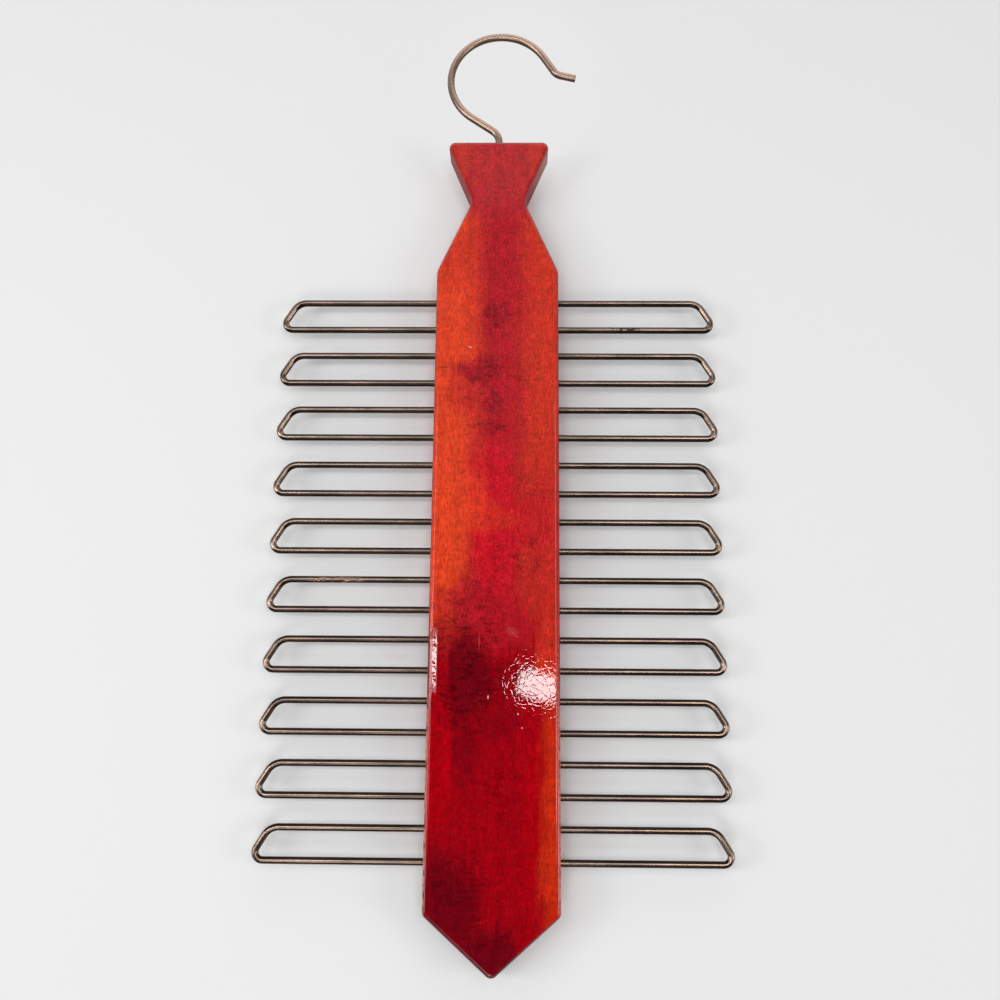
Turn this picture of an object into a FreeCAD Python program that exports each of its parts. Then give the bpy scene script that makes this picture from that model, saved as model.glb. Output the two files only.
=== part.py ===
"""Tie hanger: a tie-shaped wooden board, twenty bent wire loops, and a hook that turns in the knot.

Millimetres. +Z is up, +X is to the right and the front looks towards -Y. The origin is the seat of the
hook: the underside of its crown, on the axis that the hook turns about.
"""
import FreeCAD, Part
import enum
import math
import os
import Sketcher

FRONT_PLANE = "XZ_Plane"
SIDE_PLANE = "YZ_Plane"
TOP_PLANE = "XY_Plane"
UP = FreeCAD.Vector(0, 0, 1)
SAME_PLACE = 0.001


class Spot(enum.IntEnum):
    """Which point of a drawn line, arc or circle is meant."""

    START = 1
    END = 2
    CENTRE = 3


class Axis(enum.IntEnum):
    """The two axes of a sketch."""

    LEVEL = -1
    UPRIGHT = -2


ORIGIN = (Axis.LEVEL, Spot.START)

SIZES = {
    # The board, from its top edge down.
    "board_width": "60.5",
    "board_thickness": "16",
    "edge_round": "2",
    "knot_width": "54",
    "knot_height": "33.3",
    "knot_corner_radius": "3.2",
    "waist_width": "26.4",
    "waist_radius": "10",
    "shoulder_drop": "38.4",
    "shoulder_radius": "8",
    "blade_tail": "21.3",
    "blade_corner_radius": "3",
    "point_length": "26.1",
    "point_radius": "3.2",
    # The wire loops and the holes that their legs are glued into.
    "loop_count": "10",
    "loop_pitch": "28",
    "loop_wire": "3.2",
    "leg_spacing": "14.2",
    "leg_depth": "18",
    "leg_gap": "0.05",
    "leg_end_room": "0.5",
    "first_leg_drop": "14.5",
    "loop_reach": "78.5",
    "loop_slant": "8.6",
    "upper_bend_radius": "7.5",
    "lower_bend_radius": "3.5",
    "drill_point_angle": "118",
    # The hook, and the bore that its shank turns in.
    "hook_wire": "3.8",
    "hook_radius": "26.6",
    "hook_offset": "0.8",
    "hook_neck_height": "4.2",
    "hook_neck_radius": "8",
    # The rise from the top of the straight shank to the lowest point of the crown's circle.
    "hook_rise": "9.5",
    "hook_end_angle": "33",
    "hook_end_round": "0.4",
    "flare_drop": "12.7",
    "flare_radius": "6",
    "flare_angle": "13.5",
    "flare_length": "10.5",
    "hook_depth": "27",
    "hook_gap": "0.08",
    "hook_end_room": "0.5",
    # The groove near the shank's lower end, and the brad that stands in it.
    "groove_radius": "1.1",
    "groove_play": "0.15",
    "groove_height": "5",
    "pin_diameter": "1.5",
    "pin_gap": "0.03",
    "pin_front_cover": "4",
    "pin_point_length": "2",
    "pin_head_diameter": "2.8",
    "pin_head_height": "0.8",
}


class Size:
    """A length, angle or count that carries its number together with the sheet formula behind it."""

    def __init__(self, formula, number):
        self.formula = formula
        self.number = number

    def combined(self, sign, other, number):
        """Joins two formulas with a sign, in brackets."""
        return Size("(%s %s %s)" % (self.formula, sign, as_size(other).formula), number)

    def __add__(self, other):
        return self.combined("+", other, self.number + as_size(other).number)

    def __sub__(self, other):
        return self.combined("-", other, self.number - as_size(other).number)

    def __mul__(self, other):
        return self.combined("*", other, self.number * as_size(other).number)

    def __truediv__(self, other):
        return self.combined("/", other, self.number / as_size(other).number)

    def __neg__(self):
        return Size("(0 - %s)" % self.formula, -self.number)


class Corner:
    """A corner of a drawn line: its place across and up the sketch, and the radius that rounds it."""

    def __init__(self, across, up, radius=None):
        self.across = as_size(across)
        self.up = as_size(up)
        self.radius = radius
        self.point = FreeCAD.Vector(self.across.number, self.up.number, 0)


def as_size(value):
    """Gives a plain number the same form as a size of the sheet."""
    return value if isinstance(value, Size) else Size(str(value), value)


def make_sheet(doc):
    """Writes the driving sizes into a spreadsheet, one named row each."""
    sheet = doc.addObject("Spreadsheet::Sheet", "Dimensions")
    for row, (name, text) in enumerate(SIZES.items(), start=1):
        sheet.set("A%d" % row, name)
        sheet.set("B%d" % row, text)
        sheet.setAlias("B%d" % row, name)
    doc.recompute()
    return sheet


class Measures:
    """The sizes of the sheet by name, and the levels and places that several pieces share."""

    def __init__(self, sheet):
        for name in SIZES:
            setattr(self, name, Size("Dimensions.%s" % name, float(sheet.get(name))))
        self.half_width = self.board_width / 2
        self.half_thickness = self.board_thickness / 2
        self.crown_level = self.hook_wire / 2 - self.hook_radius
        self.neck_level = self.crown_level - self.hook_radius - self.hook_rise
        self.board_top = self.neck_level - self.hook_neck_height
        self.waist_level = self.board_top - self.knot_height
        self.shoulder_level = self.waist_level - self.shoulder_drop
        self.first_leg_level = self.shoulder_level - self.first_leg_drop
        self.pattern_length = self.loop_pitch * (self.loop_count - 1)
        self.last_leg_level = self.first_leg_level - self.pattern_length - self.leg_spacing
        self.blade_end_level = self.last_leg_level - self.blade_tail
        self.point_level = self.blade_end_level - self.point_length
        self.leg_hole = self.loop_wire + self.leg_gap * 2
        self.leg_end = self.half_width - self.leg_depth
        self.hook_bore = self.hook_wire + self.hook_gap * 2
        self.shank_end_level = self.board_top - self.hook_depth
        self.groove_level = self.shank_end_level + self.groove_height
        self.pin_offset = self.groove_radius + self.groove_play + self.pin_diameter / 2
        self.pin_length = self.board_thickness - self.pin_front_cover


def bind(feature, place, size):
    """Ties one property of a feature to its formula."""
    feature.setExpression(place, size.formula)


def new_body(doc, label):
    """Starts one solid piece."""
    body = doc.addObject("PartDesign::Body", label)
    body.Label = label
    return body


def origin_feature(body, role):
    """Finds one of the body's own planes or axes."""
    return next(item for item in body.Origin.OriginFeatures if item.Role == role)


def new_sketch(body, name, role, offset=None):
    """Lays a sketch on one of the body's planes, moved along the plane's normal by the offset."""
    sketch = body.newObject("Sketcher::SketchObject", name)
    sketch.AttachmentSupport = [(origin_feature(body, role), "")]
    sketch.MapMode = "FlatFace"
    if offset is not None:
        bind(sketch, "AttachmentOffset.Base.z", offset)
    return sketch


def constrain(sketch, kind, places, size):
    """Adds a constraint that has a size, and ties it to its formula."""
    index = sketch.addConstraint(Sketcher.Constraint(kind, *places, size.number))
    bind(sketch, "Constraints[%d]" % index, size)


def set_distance(sketch, kind, axis, point, size):
    """Fixes one coordinate of a point of the sketch."""
    if size.number == 0:
        sketch.addConstraint(Sketcher.Constraint("PointOnObject", *point, axis))
    elif size.number < 0:
        constrain(sketch, kind, (*point, *ORIGIN), -size)
    else:
        constrain(sketch, kind, (*ORIGIN, *point), size)


def set_place(sketch, point, across, up):
    """Fixes both coordinates of a point of the sketch."""
    set_distance(sketch, "DistanceX", Axis.UPRIGHT, point, as_size(across))
    set_distance(sketch, "DistanceY", Axis.LEVEL, point, as_size(up))


def add_line(sketch, start, end):
    """Draws a straight run."""
    return sketch.addGeometry(Part.LineSegment(start, end), False)


def add_arc(sketch, centre, radius, start_angle, end_angle):
    """Draws an arc from one angle to another, against the clock."""
    circle = Part.Circle(centre, UP, radius)
    return sketch.addGeometry(Part.ArcOfCircle(circle, start_angle, end_angle), False)


def add_circle(sketch, across, up, diameter):
    """Draws a circle at a place of the sketch."""
    centre = FreeCAD.Vector(as_size(across).number, as_size(up).number, 0)
    circle = sketch.addGeometry(Part.Circle(centre, UP, diameter.number / 2), False)
    set_place(sketch, (circle, Spot.CENTRE), across, up)
    constrain(sketch, "Diameter", (circle,), diameter)


def join_tangent(sketch, first, second):
    """Joins two ends so that the line runs on smoothly."""
    sketch.addConstraint(Sketcher.Constraint("Tangent", *first, *second))


def corner_trim(before, corner, after):
    """Finds the turn at a rounded corner and how far its arc reaches along both runs."""
    way_in = (corner.point - before.point).normalize()
    way_out = (after.point - corner.point).normalize()
    turn = math.atan2(way_in.cross(way_out).z, way_in.dot(way_out))
    reach = corner.radius.number * math.tan(abs(turn) / 2)
    return way_in, way_out, turn, reach


def add_corner_arc(sketch, before, corner, after):
    """Draws the arc that rounds a corner, and says which of its ends comes first."""
    way_in, way_out, turn, reach = corner_trim(before, corner, after)
    side = math.copysign(1, turn)
    to_centre = FreeCAD.Vector(-way_in.y, way_in.x, 0) * side * corner.radius.number
    centre = corner.point - way_in * reach + to_centre
    first = corner.point - way_in * reach - centre
    last = corner.point + way_out * reach - centre
    angles = [math.atan2(first.y, first.x), math.atan2(last.y, last.x)]
    ends = [Spot.START, Spot.END]
    if turn < 0:
        angles.reverse()
        ends.reverse()
    if angles[1] < angles[0]:
        angles[1] += 2 * math.pi
    arc = add_arc(sketch, centre, corner.radius.number, *angles)
    constrain(sketch, "Radius", (arc,), corner.radius)
    return arc, ends


def draw_runs(sketch, corners, closed):
    """Draws straight runs through the corners, rounds them, and fixes every corner's place."""
    count = len(corners)
    run_count = count if closed else count - 1
    runs = []
    for index in range(run_count):
        start, end = corners[index], corners[(index + 1) % count]
        along = (end.point - start.point).normalize()
        trims = []
        for place in (index, (index + 1) % count):
            corner = corners[place]
            rounded = corner.radius is not None
            trim = corner_trim(corners[place - 1], corner, corners[(place + 1) % count])[3] if rounded else 0
            trims.append(trim)
        runs.append(add_line(sketch, start.point + along * trims[0], end.point - along * trims[1]))
    for index, corner in enumerate(corners):
        if corner.radius is None:
            at_end = index == count - 1 and not closed
            tip = (runs[-1], Spot.END) if at_end else (runs[index], Spot.START)
            set_place(sketch, tip, corner.across, corner.up)
            continue
        arc, ends = add_corner_arc(sketch, corners[index - 1], corner, corners[(index + 1) % count])
        join_tangent(sketch, (runs[index - 1], Spot.END), (arc, ends[0]))
        join_tangent(sketch, (arc, ends[1]), (runs[index], Spot.START))
        mark = sketch.addGeometry(Part.Point(corner.point), True)
        sketch.addConstraint(Sketcher.Constraint("PointOnObject", mark, Spot.START, runs[index - 1]))
        sketch.addConstraint(Sketcher.Constraint("PointOnObject", mark, Spot.START, runs[index]))
        set_place(sketch, (mark, Spot.START), corner.across, corner.up)


def draw_closed_profile(sketch, corners):
    """Draws a closed profile with sharp corners."""
    count = len(corners)
    runs = []
    for index, corner in enumerate(corners):
        runs.append(add_line(sketch, corner.point, corners[(index + 1) % count].point))
    for index, corner in enumerate(corners):
        start = (runs[index], Spot.START)
        sketch.addConstraint(Sketcher.Constraint("Coincident", runs[index - 1], Spot.END, *start))
        set_place(sketch, start, corner.across, corner.up)


def volume_cut(doc, feature):
    """Recomputes and makes sure that a cutting feature took material away."""
    doc.recompute()
    if feature.Shape.Volume >= feature.BaseFeature.Shape.Volume:
        raise RuntimeError("%s cuts nothing" % feature.Name)


def sweep_wire(doc, body, path, section):
    """Sweeps a round section along a path."""
    pipe = body.newObject("PartDesign::AdditivePipe", "Wire")
    pipe.Profile = section
    pipe.Spine = (path, ["Edge%d" % (index + 1) for index in range(len(path.Shape.Edges))])
    doc.recompute()
    return pipe


def board_corners(sizes):
    """Lists the corners of the tie's outline, clockwise from the knot's top right."""
    right_side = [
        (sizes.knot_width / 2, sizes.board_top, sizes.knot_corner_radius),
        (sizes.waist_width / 2, sizes.waist_level, sizes.waist_radius),
        (sizes.half_width, sizes.shoulder_level, sizes.shoulder_radius),
        (sizes.half_width, sizes.blade_end_level, sizes.blade_corner_radius),
    ]
    point = Corner(0, sizes.point_level, sizes.point_radius)
    right = [Corner(across, up, radius) for across, up, radius in right_side]
    left = [Corner(-across, up, radius) for across, up, radius in reversed(right_side)]
    return right + [point] + left


def rounded_edges(pad, sizes):
    """Names the edges all round the front and back faces."""
    names = []
    for number, edge in enumerate(pad.Shape.Edges, start=1):
        box = edge.BoundBox
        flat = box.YLength < SAME_PLACE
        if flat and abs(abs(box.Center.y) - sizes.half_thickness.number) < SAME_PLACE:
            names.append("Edge%d" % number)
    return names


def drill_leg_holes(doc, body, sizes, side_name, into_board):
    """Drills one pair of leg holes into a side of the board and repeats it down the blade."""
    offset = sizes.half_width if into_board < 0 else -sizes.half_width
    sketch = new_sketch(body, "LegPair" + side_name, SIDE_PLANE, offset)
    for level in (sizes.first_leg_level, sizes.first_leg_level - sizes.leg_spacing):
        add_circle(sketch, 0, level, sizes.leg_hole)
    doc.recompute()
    hole = body.newObject("PartDesign::Hole", "LegHoles" + side_name)
    hole.Profile = sketch
    hole.DepthType = "Dimension"
    hole.DrillPoint = "Angled"
    hole.Reversed = into_board > 0
    bind(hole, "Diameter", sizes.leg_hole)
    bind(hole, "Depth", sizes.leg_depth + sizes.leg_end_room)
    bind(hole, "DrillPointAngle", sizes.drill_point_angle)
    volume_cut(doc, hole)
    pattern = body.newObject("PartDesign::LinearPattern", "LegHoleRow" + side_name)
    pattern.Originals = [hole]
    pattern.Direction = (origin_feature(body, "Z_Axis"), [""])
    pattern.Reversed = True
    bind(pattern, "Length", sizes.pattern_length)
    bind(pattern, "Occurrences", sizes.loop_count)
    body.Tip = pattern
    volume_cut(doc, pattern)


def make_board(doc, sizes):
    """Saws the tie outline, rounds its edges over, and drills it for the loops, the hook and the brad."""
    body = new_body(doc, "tie_board")
    outline = new_sketch(body, "TieOutline", FRONT_PLANE)
    draw_runs(outline, board_corners(sizes), closed=True)
    doc.recompute()
    pad = body.newObject("PartDesign::Pad", "Plank")
    pad.Profile = outline
    pad.SideType = "Symmetric"
    bind(pad, "Length", sizes.board_thickness)
    doc.recompute()
    fillet = body.newObject("PartDesign::Fillet", "RoundedEdges")
    fillet.Base = (pad, rounded_edges(pad, sizes))
    bind(fillet, "Radius", sizes.edge_round)
    doc.recompute()
    drill_leg_holes(doc, body, sizes, "Right", -1)
    drill_leg_holes(doc, body, sizes, "Left", 1)
    drill_hook_bore(doc, body, sizes)
    drill_pin_hole(doc, body, sizes)
    return body


def drill_hook_bore(doc, body, sizes):
    """Drills the blind bore for the hook's shank down into the knot."""
    sketch = new_sketch(body, "HookBoreMouth", TOP_PLANE, sizes.board_top)
    add_circle(sketch, 0, 0, sizes.hook_bore)
    doc.recompute()
    bore = body.newObject("PartDesign::Hole", "HookBore")
    bore.Profile = sketch
    bore.DepthType = "Dimension"
    bore.DrillPoint = "Angled"
    bind(bore, "Diameter", sizes.hook_bore)
    bind(bore, "Depth", sizes.hook_depth + sizes.hook_end_room)
    bind(bore, "DrillPointAngle", sizes.drill_point_angle)
    volume_cut(doc, bore)


def pin_profile(sizes, gap):
    """Lists half the brad's outline from its head to its point, made larger all round by a gap."""
    shank = sizes.pin_diameter / 2 + gap
    head = sizes.pin_head_diameter / 2 + gap
    head_end = -sizes.pin_head_height - gap
    point = -sizes.pin_length - gap
    taper = sizes.pin_point_length - sizes.pin_length
    return [
        Corner(0, 0),
        Corner(head, 0),
        Corner(head, head_end),
        Corner(shank, head_end),
        Corner(shank, taper),
        Corner(0, point),
    ]


def drill_pin_hole(doc, body, sizes):
    """Cuts the brad's hole into the back of the knot, beside the axis of the hook's bore."""
    sketch = body.newObject("Sketcher::SketchObject", "PinHoleHalf")
    sketch.AttachmentSupport = [(origin_feature(body, TOP_PLANE), "")]
    sketch.MapMode = "FlatFace"
    bind(sketch, "AttachmentOffset.Base.x", sizes.pin_offset)
    bind(sketch, "AttachmentOffset.Base.y", sizes.half_thickness)
    bind(sketch, "AttachmentOffset.Base.z", sizes.groove_level)
    draw_closed_profile(sketch, pin_profile(sizes, sizes.pin_gap))
    doc.recompute()
    hole = body.newObject("PartDesign::Groove", "PinHole")
    hole.Profile = sketch
    hole.ReferenceAxis = (sketch, ["V_Axis"])
    volume_cut(doc, hole)


def make_pin(doc, sizes):
    """Turns the brad that keeps the hook in its bore, with its head flush with the back."""
    body = new_body(doc, "hook_retaining_pin")
    sketch = new_sketch(body, "PinHalf", TOP_PLANE)
    draw_closed_profile(sketch, pin_profile(sizes, as_size(0)))
    doc.recompute()
    turned = body.newObject("PartDesign::Revolution", "Brad")
    turned.Profile = sketch
    turned.ReferenceAxis = (sketch, ["V_Axis"])
    bind(body, "Placement.Base.x", sizes.pin_offset)
    bind(body, "Placement.Base.y", sizes.half_thickness)
    bind(body, "Placement.Base.z", sizes.groove_level)
    doc.recompute()
    return body


def make_loop(doc, sizes, label, number, mirrored):
    """Bends one wire loop: two level legs, and a closed end that slants outwards from top to bottom."""
    body = new_body(doc, label)
    path = new_sketch(body, "LoopPath", FRONT_PLANE)
    lower_end = sizes.half_width + sizes.loop_reach
    draw_runs(path, [
        Corner(sizes.leg_end, 0),
        Corner(lower_end - sizes.loop_slant, 0, sizes.upper_bend_radius),
        Corner(lower_end, -sizes.leg_spacing, sizes.lower_bend_radius),
        Corner(sizes.leg_end, -sizes.leg_spacing),
    ], closed=False)
    section = new_sketch(body, "WireSection", SIDE_PLANE, sizes.leg_end)
    add_circle(section, 0, 0, sizes.loop_wire)
    doc.recompute()
    sweep_wire(doc, body, path, section)
    if mirrored:
        body.Placement = FreeCAD.Placement(FreeCAD.Vector(), FreeCAD.Rotation(UP, 180))
    bind(body, "Placement.Base.z", sizes.first_leg_level - sizes.loop_pitch * (number - 1))
    return body


def draw_hook_path(sketch, sizes):
    """Draws the hook's line: shank, neck bend to the left, round over the crown, and the flared end."""
    radius = sizes.hook_radius.number
    neck = sizes.hook_neck_radius.number
    centre = FreeCAD.Vector(sizes.hook_offset.number, sizes.crown_level.number, 0)
    rise = sizes.crown_level.number - sizes.neck_level.number
    across = sizes.hook_offset.number + neck
    lean = math.atan2(rise, across) - math.acos((radius + neck) / math.hypot(rise, across))
    end_angle = math.radians(sizes.hook_end_angle.number)
    flare_angle = math.radians(sizes.flare_angle.number)
    shank_bottom = FreeCAD.Vector(0, sizes.shank_end_level.number, 0)
    shank_top = FreeCAD.Vector(0, sizes.neck_level.number, 0)
    neck_centre = shank_top - FreeCAD.Vector(neck, 0, 0)
    neck_end = neck_centre + FreeCAD.Vector(math.cos(lean), math.sin(lean), 0) * neck
    crown_start = centre - FreeCAD.Vector(math.cos(lean), math.sin(lean), 0) * radius
    crown_end = centre + FreeCAD.Vector(math.cos(end_angle), math.sin(end_angle), 0) * radius
    way_down = FreeCAD.Vector(math.sin(end_angle), -math.cos(end_angle), 0)
    way_out = FreeCAD.Vector(math.cos(flare_angle), -math.sin(flare_angle), 0)
    turn = math.pi / 2 - end_angle - flare_angle
    trim = sizes.flare_radius.number * math.tan(turn / 2)
    flare_corner = crown_end + way_down * sizes.flare_drop.number
    flare_start = flare_corner - way_down * trim
    flare_end = flare_corner + way_out * trim
    tip = flare_corner + way_out * sizes.flare_length.number
    flare_centre = flare_start + FreeCAD.Vector(-way_down.y, way_down.x, 0) * sizes.flare_radius.number
    flare_from = math.atan2(flare_start.y - flare_centre.y, flare_start.x - flare_centre.x)

    shank = add_line(sketch, shank_bottom, shank_top)
    bend = add_arc(sketch, neck_centre, neck, 0, lean)
    rise_run = add_line(sketch, neck_end, crown_start)
    crown = add_arc(sketch, centre, radius, end_angle, math.pi + lean)
    drop_run = add_line(sketch, crown_end, flare_start)
    flare = add_arc(sketch, flare_centre, sizes.flare_radius.number, flare_from, flare_from + turn)
    tip_run = add_line(sketch, flare_end, tip)
    corner = sketch.addGeometry(Part.Point(flare_corner), True)

    set_place(sketch, (shank, Spot.START), 0, sizes.shank_end_level)
    set_place(sketch, (shank, Spot.END), 0, sizes.neck_level)
    join_tangent(sketch, (shank, Spot.END), (bend, Spot.START))
    join_tangent(sketch, (bend, Spot.END), (rise_run, Spot.START))
    join_tangent(sketch, (rise_run, Spot.END), (crown, Spot.END))
    join_tangent(sketch, (crown, Spot.START), (drop_run, Spot.START))
    join_tangent(sketch, (drop_run, Spot.END), (flare, Spot.START))
    join_tangent(sketch, (flare, Spot.END), (tip_run, Spot.START))
    constrain(sketch, "Radius", (bend,), sizes.hook_neck_radius)
    constrain(sketch, "Radius", (crown,), sizes.hook_radius)
    constrain(sketch, "Radius", (flare,), sizes.flare_radius)
    set_place(sketch, (crown, Spot.CENTRE), sizes.hook_offset, sizes.crown_level)
    sketch.addConstraint(Sketcher.Constraint("PointOnObject", corner, Spot.START, drop_run))
    sketch.addConstraint(Sketcher.Constraint("PointOnObject", corner, Spot.START, tip_run))
    constrain(sketch, "Distance", (crown, Spot.START, corner, Spot.START), sizes.flare_drop)
    constrain(sketch, "Distance", (corner, Spot.START, tip_run, Spot.END), sizes.flare_length)
    reach = Size("(%s * cos(%s))" % (sizes.hook_radius.formula, sizes.hook_end_angle.formula),
                 crown_end.x - centre.x)
    constrain(sketch, "DistanceX", (crown, Spot.CENTRE, crown, Spot.START), reach)
    fall = Size("(%s * sin(%s))" % (sizes.flare_length.formula, sizes.flare_angle.formula),
                flare_corner.y - tip.y)
    constrain(sketch, "DistanceY", (tip_run, Spot.END, corner, Spot.START), fall)


def make_hook(doc, sizes):
    """Bends the hook, turns the groove near the end of its shank, and eases its cut tip."""
    body = new_body(doc, "swivel_hook")
    path = new_sketch(body, "HookPath", FRONT_PLANE)
    draw_hook_path(path, sizes)
    section = new_sketch(body, "WireSection", TOP_PLANE, sizes.shank_end_level)
    add_circle(section, 0, 0, sizes.hook_wire)
    doc.recompute()
    wire = sweep_wire(doc, body, path, section)
    groove_half = new_sketch(body, "GrooveHalf", FRONT_PLANE)
    groove_reach = sizes.pin_diameter / 2 + sizes.groove_play
    draw_closed_profile(groove_half, [
        Corner(sizes.groove_radius, sizes.groove_level - groove_reach),
        Corner(sizes.hook_wire, sizes.groove_level - groove_reach),
        Corner(sizes.hook_wire, sizes.groove_level + groove_reach),
        Corner(sizes.groove_radius, sizes.groove_level + groove_reach),
    ])
    doc.recompute()
    groove = body.newObject("PartDesign::Groove", "PinGroove")
    groove.Profile = groove_half
    groove.ReferenceAxis = (groove_half, ["V_Axis"])
    volume_cut(doc, groove)
    end_edges = []
    for number, edge in enumerate(groove.Shape.Edges, start=1):
        if edge.BoundBox.Center.x > sizes.hook_radius.number + sizes.hook_wire.number:
            end_edges.append((edge.BoundBox.Center.x, "Edge%d" % number))
    ease = body.newObject("PartDesign::Fillet", "EasedTip")
    ease.Base = (groove, [max(end_edges)[1]])
    bind(ease, "Radius", sizes.hook_end_round)
    doc.recompute()
    return body


def check_document(doc, bodies):
    """Stops if any feature failed or any piece isn't one valid solid."""
    for item in doc.Objects:
        if "Invalid" in item.State or "Error" in item.State:
            raise RuntimeError("%s failed: %s" % (item.Label, item.State))
    for body in bodies:
        shape = body.Shape
        if shape.isNull() or not shape.isValid() or len(shape.Solids) != 1:
            raise RuntimeError("%s is not one valid solid" % body.Label)


def main():
    """Builds every piece and writes each to its own file."""
    doc = FreeCAD.newDocument("TieHanger")
    sizes = Measures(make_sheet(doc))
    bodies = [make_board(doc, sizes), make_hook(doc, sizes), make_pin(doc, sizes)]
    for number in range(1, int(sizes.loop_count.number) + 1):
        bodies.append(make_loop(doc, sizes, "loop_right_%02d" % number, number, mirrored=False))
        bodies.append(make_loop(doc, sizes, "loop_left_%02d" % number, number, mirrored=True))
    doc.recompute()
    check_document(doc, bodies)
    os.makedirs("parts", exist_ok=True)
    for body in bodies:
        body.Shape.exportStep("parts/%s.step" % body.Label)
        print("%-20s %10.1f mm3" % (body.Label, body.Shape.Volume))


main()
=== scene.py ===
"""Looks of the tie hanger: stained wood, bronzed wire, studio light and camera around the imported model.

Metres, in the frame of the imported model: +Z is up, +X is to the right and the front looks towards -Y. The
origin is the seat of the hook, so the board hangs below it.
"""
import logging
import math
from dataclasses import dataclass
from enum import Enum
from typing import Any, ClassVar

import bpy
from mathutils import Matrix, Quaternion, Vector


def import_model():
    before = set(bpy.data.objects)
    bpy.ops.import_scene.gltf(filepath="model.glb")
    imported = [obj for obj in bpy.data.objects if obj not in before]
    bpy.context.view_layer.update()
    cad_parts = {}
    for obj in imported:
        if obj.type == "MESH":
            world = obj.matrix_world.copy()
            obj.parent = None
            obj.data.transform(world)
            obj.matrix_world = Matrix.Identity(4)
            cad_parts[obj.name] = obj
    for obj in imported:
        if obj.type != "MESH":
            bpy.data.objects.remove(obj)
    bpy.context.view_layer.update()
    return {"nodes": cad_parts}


LOG = logging.getLogger("tie_hanger")
MM = 0.001

# The mix node has one set of sockets per kind of value, and these are the numbers of its colour sockets.
MIX_SHARE = 0
MIX_UNDER = 6
MIX_OVER = 7
MIX_RESULT = 2

Colour = tuple[float, float, float]
Point = tuple[float, float, float]
Socket = bpy.types.NodeSocket
Feed = Socket | float | tuple[float, ...]


class Blend(Enum):
    """How one colour goes over another."""

    COVER = "MIX"
    MULTIPLY = "MULTIPLY"


class Side(Enum):
    """The side of the board that a row of loops stands on."""

    LEFT = "left"
    RIGHT = "right"


class Ray(Enum):
    """The kinds of light path that show the pale background as it is."""

    CAMERA = "Is Camera Ray"
    GLOSSY = "Is Glossy Ray"
    TRANSMISSION = "Is Transmission Ray"


def paint(red: int, green: int, blue: int) -> Colour:
    """Turns a screen colour into the light that it stands for.

    Args:
        red: Red from 0 to 255.
        green: Green from 0 to 255.
        blue: Blue from 0 to 255.

    Returns:
        The same colour as linear light from 0 to 1.
    """
    channels = []
    for value in (red, green, blue):
        share = value / 255
        # The standard curve of screen colours: straight near black and a power above.
        channels.append(share / 12.92 if share <= 0.04045 else ((share + 0.055) / 1.055) ** 2.4)
    return tuple(channels)


class Tone(Enum):
    """The colours of the red stain, from where it is thin to where it lies thick."""

    ORANGE = paint(214, 62, 30)
    AMBER = paint(186, 41, 15)
    BRICK = paint(192, 46, 28)
    SCARLET = paint(194, 14, 32)
    CRIMSON = paint(168, 20, 33)
    BRIGHT_RED = paint(164, 1, 13)
    DEEP_RED = paint(149, 2, 15)
    PLUM = paint(132, 12, 28)
    MAROON = paint(98, 3, 17)


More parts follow.
